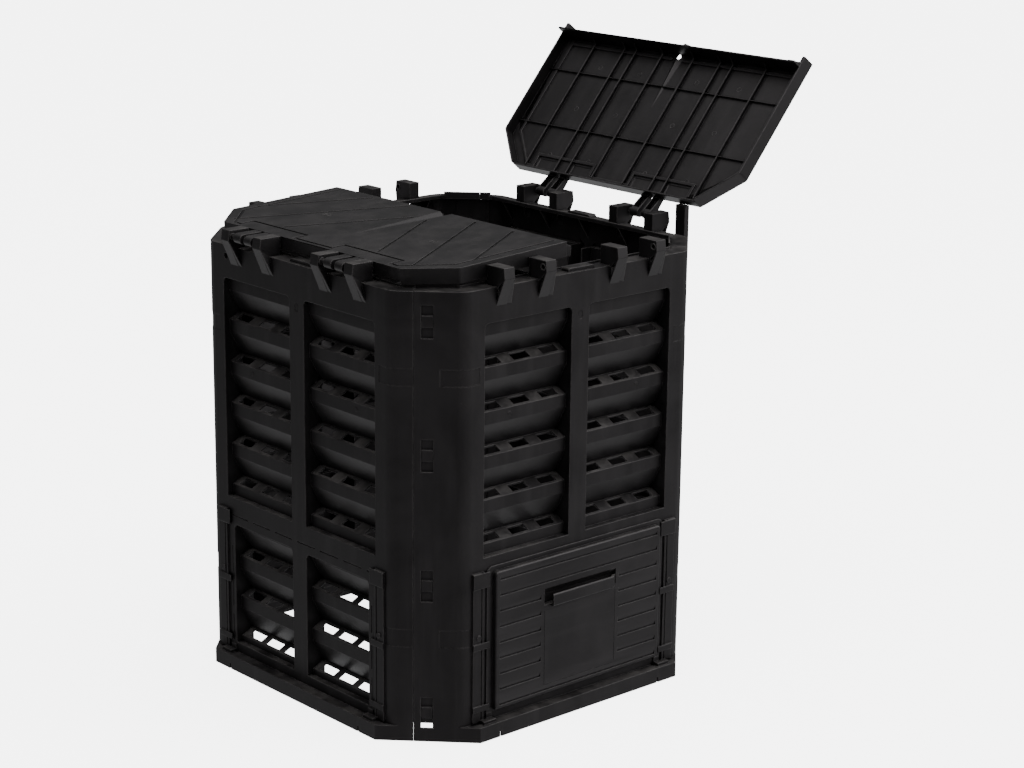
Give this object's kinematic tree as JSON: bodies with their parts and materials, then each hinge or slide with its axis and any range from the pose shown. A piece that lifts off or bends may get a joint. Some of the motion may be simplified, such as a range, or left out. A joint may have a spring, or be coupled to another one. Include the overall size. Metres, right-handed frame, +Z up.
{
  "type": "garden compost bin",
  "caption": "Eight-sided compost bin with louvred walls, two hinged lid halves, a sliding front hatch and a prop that holds one lid open.",
  "frame": {"origin": "middle of the footprint, on the ground", "axes": "+Z up, -Y out of the wall with the hatch, +X towards the lid that stands open"},
  "size_m": [0.9485, 0.721, 1.0895],
  "materials": {
    "moulded_plastic": "near-black recycled polypropylene, fine satin grain, lightly scuffed and dusty"
  },
  "bodies": {
    "bin": {"front_wall": "moulded_plastic", "left_wall": "moulded_plastic", "back_wall": "moulded_plastic", "right_wall": "moulded_plastic", "lid_prop": "moulded_plastic"},
    "left_lid": {"left_lid": "moulded_plastic"},
    "right_lid": {"right_lid": "moulded_plastic"},
    "hatch": {"hatch": "moulded_plastic"}
  },
  "joints": [
    {"name": "left_lid_hinge", "type": "hinge", "parent": "bin", "child": "left_lid", "pos_m": [-0.351, 0, 0.802], "axis": [0, -1, 0], "range_deg": [0, 127]},
    {"name": "right_lid_hinge", "type": "hinge", "parent": "bin", "child": "right_lid", "pos_m": [0.351, 0, 0.802], "axis": [0, 1, 0], "range_deg": [-127, 0]},
    {"name": "hatch_slide", "type": "slide", "parent": "bin", "child": "hatch", "axis": [0, 0, 1], "range_m": [0, 0.2]}
  ]
}
